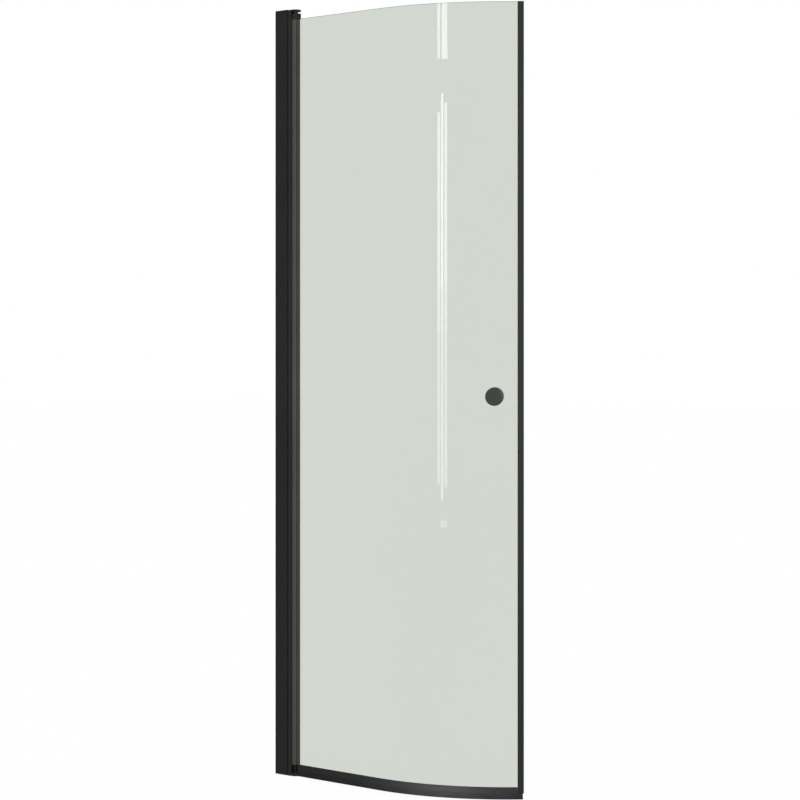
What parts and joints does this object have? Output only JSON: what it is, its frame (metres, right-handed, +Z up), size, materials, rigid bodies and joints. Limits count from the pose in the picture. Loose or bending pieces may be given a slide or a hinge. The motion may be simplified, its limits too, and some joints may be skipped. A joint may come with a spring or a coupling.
{
  "type": "curved shower door",
  "caption": "Bent glass shower door for half of a quarter-round corner, with a wall profile, a rising hinge, a bottom rail with a sweep, a magnet closing edge and a round knob.",
  "frame": {"origin": "on the wall face of the wall profile, at floor level, mid-width", "axes": "+X out from the wall along the straight part of the closed door, +Y into the shower, +Z up"},
  "size_m": [0.6727, 0.1593, 1.9],
  "materials": {
    "black_aluminium": "fine matt powder coat",
    "black_plastic": "moulded, fine texture",
    "cam_plastic": "smooth bearing plastic",
    "seal_rubber": "soft matt",
    "magnet_skin": "soft extruded plastic",
    "magnet": "magnet-filled rubber",
    "steel": "turned",
    "glass": "clear, polished edges",
    "knob_black": "satin black"
  },
  "bodies": {
    "wall": {"wall_profile": "black_aluminium", "wall_profile_top_cap": "black_plastic", "lock_screws": "steel", "lock_nuts": "steel", "lock_screw_covers": "black_plastic"},
    "post": {"hinge_post": "black_aluminium", "post_gap_seal": "seal_rubber", "post_top_cap": "black_plastic", "post_bottom_cap": "black_plastic", "post_cap_screws": "steel", "lower_pivot_pin": "steel", "lower_cam": "cam_plastic"},
    "pivot": {"upper_pivot_pin": "steel"},
    "door": {"door_hinge_profile": "black_aluminium", "door_top_cap": "black_plastic", "cam_follower": "cam_plastic", "hinge_glass_gasket": "seal_rubber", "glass_panel": "glass", "bottom_rail": "black_aluminium", "rail_glass_gasket": "seal_rubber", "bottom_sweep": "seal_rubber", "rail_hinge_end_cap": "black_plastic", "rail_closing_end_cap": "black_plastic", "closing_profile": "black_aluminium", "closing_glass_gasket": "seal_rubber", "closing_profile_top_cap": "black_plastic", "closing_profile_bottom_cap": "black_plastic", "magnet_carrier": "magnet_skin", "magnet_bar": "magnet", "outer_knob": "knob_black", "inner_knob": "knob_black", "knob_grub_screw": "steel", "knob_bolt": "steel", "knob_glass_bush": "cam_plastic", "outer_knob_washer": "seal_rubber", "inner_knob_washer": "seal_rubber"}
  },
  "joints": [
    {"name": "width_adjust", "type": "slide", "parent": "wall", "child": "post", "axis": [1, 0, 0], "range_m": [-0.0025, 0.01]},
    {"name": "door_swing", "type": "hinge", "parent": "post", "child": "pivot", "pos_m": [0.058, 0, 0], "axis": [0, 0, -1], "range_deg": [0, 90]},
    {"name": "door_lift", "type": "slide", "parent": "pivot", "child": "door", "axis": [0, 0, 1], "range_m": [0, 0.005]}
  ],
  "couplings": [
    {"joint": "door_lift", "follows": "door_swing", "m_per_rad": 0.0031831}
  ]
}
